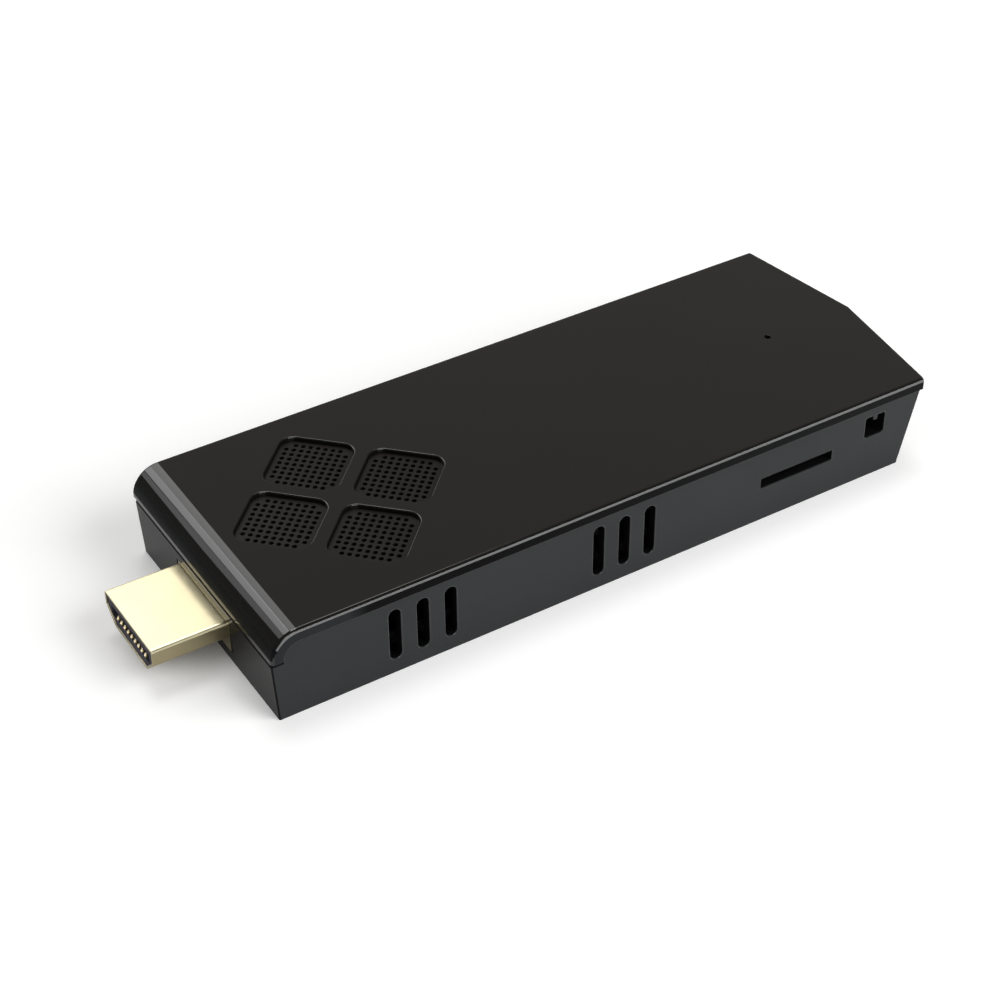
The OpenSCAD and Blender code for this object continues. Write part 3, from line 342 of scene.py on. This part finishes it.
bm = cadCopy("top_cover")
soften(bm, sharpEdges(bm, inWindows), cover["windowRim"], steps=4)
soften(bm, sharpEdges(bm, lambda p: abs(p.z - cover["underside"]) > close), cover["rim"], steps=2)
for face in bm.faces:
    middle = face.calc_center_median()
    onRoll = face.normal.x < 0 and middle.x < coverLow.x + cover["front"]
    # the side band takes a painted reflection
    if abs(face.normal.y) > cover["side"] and abs(middle.y) > coverHigh.y - cover["sideSkin"]:
        face.material_index = paintedReflectionFace
    # a painted highlight line along the upper side edges
    elif (abs(face.normal.y) > cover["edgeFrom"] and abs(middle.y) > coverHigh.y - cover["edge"]
          and face.normal.z * cover["edgeTurn"] > abs(face.normal.x)):
        face.material_index = paintedHighlightFace
    elif onRoll and cover["bandFrom"] < face.normal.z < cover["bandTo"]:
        face.material_index = rollBand
addPiece(bm, "topCover", "case", "cover_gloss", "coverGloss", "top_cover",
         extra=("coverEdge", "paintedReflectionSide", "paintedHighlight"))
print("cover made")

# Tray: soft rims but for the foot, and a glossy front with painted shade and a painted dark line down each
# front corner
# Its openings have glossy rims, and their walls are painted black as shade
trayLow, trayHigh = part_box("base_tray")
tray = {"rim": 0.09 * mm, "openingRim": 0.16 * mm, "cornerRim": 0.2 * mm, "edge": 1.4 * mm, "deep": 2.4 * mm,
        "plugEnd": 3 * mm, "tailEnd": 6 * mm, "cornerTop": 4 * mm, "slant": 0.8 * mm, "frontTurn": 0.95,
        "flat": 60 * mm * mm}
paintedShadeFront, glossRim, paintedDarkFace = 1, 2, 3  # its other finishes, in the order of extra


def betweenEnds(p):
    return trayLow.x + tray["plugEnd"] < p.x < trayHigh.x - tray["tailEnd"]


def inOpenings(p):
    return (abs(abs(p.y) - trayHigh.y) < close and tray["edge"] < p.z < trayHigh.z - tray["edge"] / 2
            and betweenEnds(p))


def onFrontCorners(p):
    return (p.x < trayLow.x + tray["slant"] and abs(p.y) > trayHigh.y - tray["slant"]
            and tray["edge"] < p.z < trayHigh.z - tray["cornerTop"])


def onFront(face):
    return face.normal.x < -tray["frontTurn"] and face.calc_center_median().x < trayLow.x + tray["slant"]


bm = cadCopy("base_tray")
cutRing(bm, onFront)
rims = soften(bm, sharpEdges(bm, inOpenings), tray["openingRim"], steps=4)
corners = soften(bm, sharpEdges(bm, onFrontCorners), tray["cornerRim"], steps=4)
for face in bm.faces:
    middle = face.calc_center_median()
    inWall = trayHigh.y - tray["deep"] < abs(middle.y) < trayHigh.y - tray["openingRim"]
    # the front takes a darker copy of the finish as painted shade
    if onFront(face):
        face.material_index = paintedShadeFront
    # walls inside the openings are painted black as shade
    elif inWall and betweenEnds(middle) and middle.z > tray["edge"]:
        face.material_index = paintedDarkFace
for face in rims:
    face.material_index = glossRim
# the rounded front corners are painted as a dark line
for face in corners:
    face.material_index = paintedDarkFace
soften(bm, sharpEdges(bm, lambda p: p.z > trayLow.z + tray["rim"]), tray["rim"], steps=2)  # all but the foot
addPiece(bm, "baseTray", "case", "base_satin", "baseSatin", "base_tray",
         extra=("frontGlossPaintedShade", "rimGloss", "paintedDark"), flatFrom=tray["flat"])
print("tray made")

# Grille: four raised pads full of small holes on one sheet
grille = {"middle": -29.625 * mm, "top": 12.6 * mm, "bottom": 11.0 * mm,
          "pad": 9.9 * mm, "corner": 1.85 * mm, "cornerSteps": 8, "gap": 12 * mm,
          "hole": 0.68 * mm, "holeSides": 12, "pitch": 1.0 * mm, "rows": 9,
          "sheet": 23.6 * mm, "sheetTop": 11.8 * mm, "sheetCorner": 2.7 * mm, "sheetSteps": 6}
turned = Matrix.Rotation(pi / 4, 4, "Z")


def roundedLoop(bm, side, corner, steps):
    made = bmesh.ops.create_circle(bm, segments=4, radius=side / sqrt(2), matrix=turned)
    bmesh.ops.bevel(bm, geom=made["verts"], offset=corner, offset_type="OFFSET", segments=steps, profile=0.5,
                    affect="VERTICES", clamp_overlap=True, material=-1)


def fillAndSink(bm, thickness):
    bmesh.ops.triangle_fill(bm, use_beauty=True, edges=bm.edges)
    bmesh.ops.recalc_face_normals(bm, faces=bm.faces)
    if next(iter(bm.faces)).normal.z < 0:
        bmesh.ops.reverse_faces(bm, faces=bm.faces)
    made = bmesh.ops.extrude_face_region(bm, geom=bm.faces[:], use_keep_orig=True)
    low = [item for item in made["geom"] if isinstance(item, bmesh.types.BMVert)]
    bmesh.ops.translate(bm, vec=(0, 0, -thickness), verts=low)
    bmesh.ops.recalc_face_normals(bm, faces=bm.faces)


def joinInto(target, source, matrix):
    bmesh.ops.transform(source, matrix=matrix, verts=source.verts)
    mesh = bpy.data.meshes.new("part")
    source.to_mesh(mesh)
    source.free()
    target.from_mesh(mesh)
    bpy.data.meshes.remove(mesh)


def grillePad():
    pad = bmesh.new()
    roundedLoop(pad, grille["pad"], grille["corner"], grille["cornerSteps"])
    half = (grille["rows"] - 1) / 2
    for i in range(grille["rows"]):
        for j in range(grille["rows"]):
            if abs(i - half) + abs(j - half) < 2 * half:  # the four corners stay closed
                spot = Matrix.Translation(((i - half) * grille["pitch"], (j - half) * grille["pitch"], 0))
                bmesh.ops.create_circle(pad, segments=grille["holeSides"], radius=grille["hole"] / 2,
                                        matrix=spot)
    fillAndSink(pad, grille["top"] - grille["bottom"])
    return pad


def padAway(turn):
    return Matrix.Rotation(turn, 4, "Z") @ Vector((grille["gap"] / sqrt(2), 0, 0))


bm = bmesh.new()
for i in range(4):
    away = padAway(i * pi / 2)
    spot = Matrix.Translation((grille["middle"] + away.x, away.y, grille["top"])) @ turned
    joinInto(bm, grillePad(), spot)
sheet = bmesh.new()
roundedLoop(sheet, grille["sheet"], grille["sheetCorner"], grille["sheetSteps"])
for i in range(4):
    opening = bmesh.new()
    roundedLoop(opening, grille["pad"], grille["corner"], grille["cornerSteps"])
    joinInto(sheet, opening, Matrix.Translation(padAway(i * pi / 2 + pi / 4)))
fillAndSink(sheet, grille["sheetTop"] - grille["bottom"])
joinInto(bm, sheet, Matrix.Translation((grille["middle"], 0, grille["sheetTop"])) @ turned)
addPiece(bm, "grillePads", "case", "grille_satin", "grilleSatin", "grille_panel")
print("grille made")

# Plug: folded gold shell with soft edges, and the sprung ends of its contacts
plug = {"rim": 0.07 * mm, "sideTurn": 0.9, "underTurn": 0.3, "mouthTurn": 0.7,
        "pinRim": 0.03 * mm, "pinEnd": 0.1 * mm, "upperBack": 0.6 * mm, "tips": 9, "pitch": 1 * mm,
        "tip": (0.22 * mm, 0.2 * mm, 0.38 * mm), "tipTop": 0.6 * mm, "tipSides": 16, "tipRings": 10}
paintedShadeFace = 1  # its other finish, in extra
bm = cadCopy("hdmi_shell")
for face in bm.faces:  # sides, underside and mouth take a darker gold than the top: painted shade
    turn = face.normal
    if abs(turn.y) > plug["sideTurn"] or turn.z < -plug["underTurn"] or turn.x < -plug["mouthTurn"]:
        face.material_index = paintedShadeFace
soften(bm, sharpEdges(bm, lambda p: p.x < trayLow.x), plug["rim"], steps=3)  # the flange stays square
addPiece(bm, "plugShell", "case", "gold_plate", "goldPlate", "hdmi_shell", extra=("goldPaintedShade",))
pinLow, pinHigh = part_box("hdmi_contacts")
bm = cadCopy("hdmi_contacts")
pinEnd, pinMiddle = pinLow.x + plug["pinEnd"], (pinLow.z + pinHigh.z) / 2
upper = [vert for vert in bm.verts if vert.co.x < pinEnd and vert.co.z > pinMiddle]
bmesh.ops.translate(bm, vec=(plug["upperBack"], 0, 0), verts=upper)
soften(bm, sharpEdges(bm), plug["pinRim"], steps=2)
long, wide, high = plug["tip"]
for i in range(plug["tips"]):  # sprung ends of the lower row
    across = (i - plug["tips"] // 2) * plug["pitch"]
    spot = Vector((pinLow.x + long, across, pinLow.z + plug["tipTop"] - high))
    shape = Matrix.Translation(spot) @ Matrix.Diagonal((long, wide, high, 1))
    bmesh.ops.create_uvsphere(bm, u_segments=plug["tipSides"], v_segments=plug["tipRings"], radius=1,
                              matrix=shape)
addPiece(bm, "plugContacts", "case", "contact_gold", "contactGold", "hdmi_contacts")
print("plug made")

# Ports: soft rims, and four sprung fingers inside each wide shell
port = {"rim": 0.08 * mm, "fingerWide": 1.7 * mm, "fingerLong": 5.5 * mm, "fingerThick": 0.2 * mm,
        "fingerSteps": 10, "bulge": 0.45 * mm, "apart": 3.3 * mm, "wall": 0.3 * mm, "mouthBack": 1.6 * mm}


def addFinger(bm, x, mouth, z, inward):
    finger = bmesh.new()
    bmesh.ops.create_grid(finger, x_segments=2, y_segments=port["fingerSteps"], size=0.5)
    for vert in finger.verts:
        vert.co.z = inward * port["bulge"] * cos(vert.co.y * pi) ** 2
    bmesh.ops.scale(finger, vec=(port["fingerWide"], port["fingerLong"], 1), verts=finger.verts)
    bmesh.ops.solidify(finger, geom=finger.faces[:], thickness=inward * port["fingerThick"])
    bmesh.ops.recalc_face_normals(finger, faces=finger.faces)
    joinInto(bm, finger, Matrix.Translation((x, mouth - port["mouthBack"] - port["fingerLong"] / 2, z)))


def widePort(nodeName, pieceName):
    low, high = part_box(nodeName)
    middle = (low.x + high.x) / 2
    bm = cadCopy(nodeName)
    soften(bm, sharpEdges(bm), port["rim"], steps=2)
    for side in (-1, 1):
        addFinger(bm, middle + side * port["apart"], high.y, high.z - port["wall"], -1)
        addFinger(bm, middle + side * port["apart"], high.y, low.z + port["wall"], 1)
    addPiece(bm, pieceName, "case", "port_steel", "portSteel", nodeName)


widePort("usb3_shell", "frontPortShell")
widePort("usb2_shell", "rearPortShell")
plainParts = (
    ("usb3_tongue", "frontPortTongue", "blue_plastic", "bluePlastic"),
    ("usb2_tongue", "rearPortTongue", "core_plastic", "blackPlastic"),
    ("power_port_shell", "powerPortShell", "port_steel", "portSteel"),
)
for nodeName, pieceName, slotName, finish in plainParts:
    bm = cadCopy(nodeName)
    soften(bm, sharpEdges(bm), port["rim"], steps=2)
    addPiece(bm, pieceName, "case", slotName, finish, nodeName)
print("ports made")

# Button with a well rounded face, and the screws with softened heads
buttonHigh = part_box("power_button")[1]
button = {"faceRim": 0.2 * mm}
screws = {"headTop": 1.6 * mm, "rim": 0.04 * mm}
bm = cadCopy("power_button")
soften(bm, sharpEdges(bm, lambda p: p.y > buttonHigh.y - close), button["faceRim"], steps=4)
addPiece(bm, "powerButton", "button", "button_satin", "buttonSatin", "power_button")
bm = cadCopy("case_screws")
soften(bm, sharpEdges(bm, lambda p: p.z < screws["headTop"]), screws["rim"], steps=2)
addPiece(bm, "caseScrews", "case", "screw_steel", "screwSteel", "case_screws")
print("button and screws made")

# Spring of the card slider, one wire wound inside the slider's channel
springLow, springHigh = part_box("card_spring")
spring = {"turns": 8, "steps": 16, "sides": 8, "wire": 0.14 * mm, "travel": 4.6 * mm}
radius = (springHigh.z - springLow.z - spring["wire"]) / 2
axisX, axisZ = (springLow.x + springHigh.x) / 2, (springLow.z + springHigh.z) / 2
length = springHigh.y - springLow.y
count = spring["turns"] * spring["steps"]
bm = bmesh.new()
start = Matrix.Translation((axisX + radius, springLow.y + spring["wire"] / 2, axisZ))
bmesh.ops.create_circle(bm, cap_ends=True, segments=spring["sides"], radius=spring["wire"] / 2, matrix=start)
bmesh.ops.spin(bm, geom=bm.faces[:] + bm.edges[:] + bm.verts[:], cent=(axisX, 0, axisZ), axis=(0, 1, 0),
               dvec=(0, (length - spring["wire"]) / count, 0), angle=2 * pi * spring["turns"], steps=count,
               use_merge=False, use_duplicate=False)
bmesh.ops.recalc_face_normals(bm, faces=bm.faces)
coil = addPiece(bm, "sliderSpring", "case", "port_steel", "portSteel", "card_spring")
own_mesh(coil)
print("spring made")

# CAD nodes that keep their shape
kept = {
    "hdmi_core": "corePlastic", "main_board": "boardMask", "processor": "chipBlack", "thermal_pad": "padSoft",
    "heat_sink": "sinkBlack", "heat_sink_screws": "screwSteel", "memory_chips": "chipBlack",
    "storage_chip": "chipBlack", "power_chip": "chipBlack", "power_coils": "chipBlack",
    "capacitors": "ceramicTan", "clock_crystal": "portSteel", "wifi_module": "boardMask",
    "wifi_shield": "portSteel", "antenna": "antennaCopper", "antenna_lead": "leadJacket",
    "usb3_contacts": "contactGold", "usb2_contacts": "contactGold", "power_port_tongue": "blackPlastic",
    "power_port_contacts": "contactGold", "card_frame": "blackPlastic", "card_lid": "portSteel",
    "card_contacts": "contactGold", "card_slider": "stemPlastic", "switch_body": "blackPlastic",
    "switch_stem": "stemPlastic", "status_lamp": "lampClear", "light_pipe": "lampClear",
}
for nodeName, finish in kept.items():
    nodes[nodeName].data.materials.clear()
    nodes[nodeName].data.materials.append(materials[finish])
print("kept nodes finished:", len(kept))

# Studio: pale round floor with a painted contact shadow, panels for gloss alone, three soft lamps and a sky
# with one glow
studio = {
    "floor": 1.5, "floorSides": 96, "floorColour": (0.86, 0.86, 0.86), "floorSpread": 1.015,
    "floorClouds": 60 * mm, "floorRough": 0.9, "floorLift": 0.33,
    "contact": 7 * mm, "contactRays": 8, "contactFade": (0.08, 0.42),
    "sky": (0.15, 0.148, 0.145), "glow": (0.35, 0.335, 0.32), "glowAt": (36, 38),
    "glowEdge": (0.70, 0.93),  # cosines of about 45 and 21 degrees from the middle of the glow
    "panelsAway": 3.0,
    "panels": (  # name, azimuth from +Y towards +X, elevation, width, height, radiance, rays
        ("backPanelRight", 5, 39, 1.08, 1.6, 2.2, "gloss"),
        ("backPanelMiddle", -18, 39, 0.79, 1.6, 3.45, "gloss"),
        ("backPanelLeft", -34, 31, 0.50, 0.95, 1.28, "gloss"),
        ("highPanel", 22, 63, 1.42, 0.8, 3.2, "gloss"),
        ("frontPanel", 195, 34, 2.0, 1.6, 4.0, "gloss"),
        ("keyLamp", 144, 36, 2.1, 1.75, 6.0, "matt"),
        ("topLamp", 20, 76, 1.0, 1.0, 6.0, "all"),
        ("leftLamp", 262, 40, 1.2, 1.2, 1.6, "matt"),
    ),
}


def lookTowards(azimuth, elevation):
    flat = cos(radians(elevation))
    return Vector((sin(radians(azimuth)) * flat, cos(radians(azimuth)) * flat, sin(radians(elevation))))


def addPanel(name, azimuth, elevation, width, height, radiance, rays):
    lamp = bpy.data.lights.new(name, "AREA")
    lamp.shape = "RECTANGLE"
    lamp.size, lamp.size_y = width, height
    lamp.energy = radiance * width * height * pi
    away = lookTowards(azimuth, elevation)
    lampObject = bpy.data.objects.new(name, lamp)
    facing = away.to_track_quat("Z", "Y").to_matrix().to_4x4()
    lampObject.matrix_world = Matrix.Translation(away * studio["panelsAway"]) @ facing
    lampObject.visible_camera = False
    lampObject.visible_diffuse = rays != "gloss"
    lampObject.visible_glossy = rays != "matt"
    scene.collection.objects.link(lampObject)


for panel in studio["panels"]:
    addPanel(*panel)

bm = bmesh.new()
bmesh.ops.create_circle(bm, cap_ends=True, segments=studio["floorSides"], radius=studio["floor"])
floorMesh = bpy.data.meshes.new("floor")
bm.to_mesh(floorMesh)
bm.free()
floorObject = bpy.data.objects.new("floor", floorMesh)
scene.collection.objects.link(floorObject)

floorMaterial, tree, shader, coords = startMaterial("floorPaper")
clouds = addNoise(tree, coords, studio["floorClouds"])
pale = studio["floorColour"]
paler = [part * studio["floorSpread"] for part in pale]
tree.links.new(blendColours(tree, clouds, pale, paler), shader.inputs["Base Color"])
shader.inputs["Roughness"].default_value = studio["floorRough"]
shader.inputs["Specular IOR Level"].default_value = 0.0
path = tree.nodes.new("ShaderNodeLightPath")
seen = path.outputs["Is Camera Ray"]
for ray in ("Is Glossy Ray", "Is Transmission Ray"):
    either = tree.nodes.new("ShaderNodeMath")
    either.operation = "MAXIMUM"
    tree.links.new(seen, either.inputs[0])
    tree.links.new(path.outputs[ray], either.inputs[1])
    seen = either.outputs[0]
contact = tree.nodes.new("ShaderNodeAmbientOcclusion")  # the lift fades close to the part: a painted contact shadow
contact.samples = studio["contactRays"]
contact.inputs["Distance"].default_value = studio["contact"]
faded = tree.nodes.new("ShaderNodeMapRange")
faded.inputs["From Min"].default_value = studio["contactFade"][0]
faded.inputs["From Max"].default_value = studio["contactFade"][1]  # beside a plain wall the lift stays whole
faded.inputs["To Max"].default_value = studio["floorLift"]
tree.links.new(contact.outputs["AO"], faded.inputs["Value"])
lift = tree.nodes.new("ShaderNodeMath")
lift.operation = "MULTIPLY"
tree.links.new(seen, lift.inputs[0])
tree.links.new(faded.outputs["Result"], lift.inputs[1])
shader.inputs["Emission Color"].default_value = (1, 1, 1, 1)
tree.links.new(lift.outputs[0], shader.inputs["Emission Strength"])
floorMesh.materials.append(floorMaterial)

world = bpy.data.worlds.new("studioSky")
scene.world = world
world.use_nodes = True
tree = world.node_tree
sky = tree.nodes["Background"]
skyCoords = tree.nodes.new("ShaderNodeTexCoord")
near = tree.nodes.new("ShaderNodeVectorMath")
near.operation = "DOT_PRODUCT"
near.inputs[1].default_value = lookTowards(*studio["glowAt"])
ramp = tree.nodes.new("ShaderNodeValToRGB")
ramp.color_ramp.interpolation = "EASE"
skyColours = (studio["sky"], studio["glow"])
for element, place, colour in zip(ramp.color_ramp.elements, studio["glowEdge"], skyColours):
    element.position = place
    element.color = (*colour, 1)
tree.links.new(skyCoords.outputs["Generated"], near.inputs[0])
tree.links.new(near.outputs["Value"], ramp.inputs["Fac"])
backdrop = tree.nodes.new("ShaderNodeMixRGB")  # white behind the floor's edge, seen by the camera alone
backdrop.inputs["Color2"].default_value = (1, 1, 1, 1)
skyPath = tree.nodes.new("ShaderNodeLightPath")
tree.links.new(skyPath.outputs["Is Camera Ray"], backdrop.inputs["Fac"])
tree.links.new(ramp.outputs["Color"], backdrop.inputs["Color1"])
tree.links.new(backdrop.outputs["Color"], sky.inputs["Color"])
print("studio set")
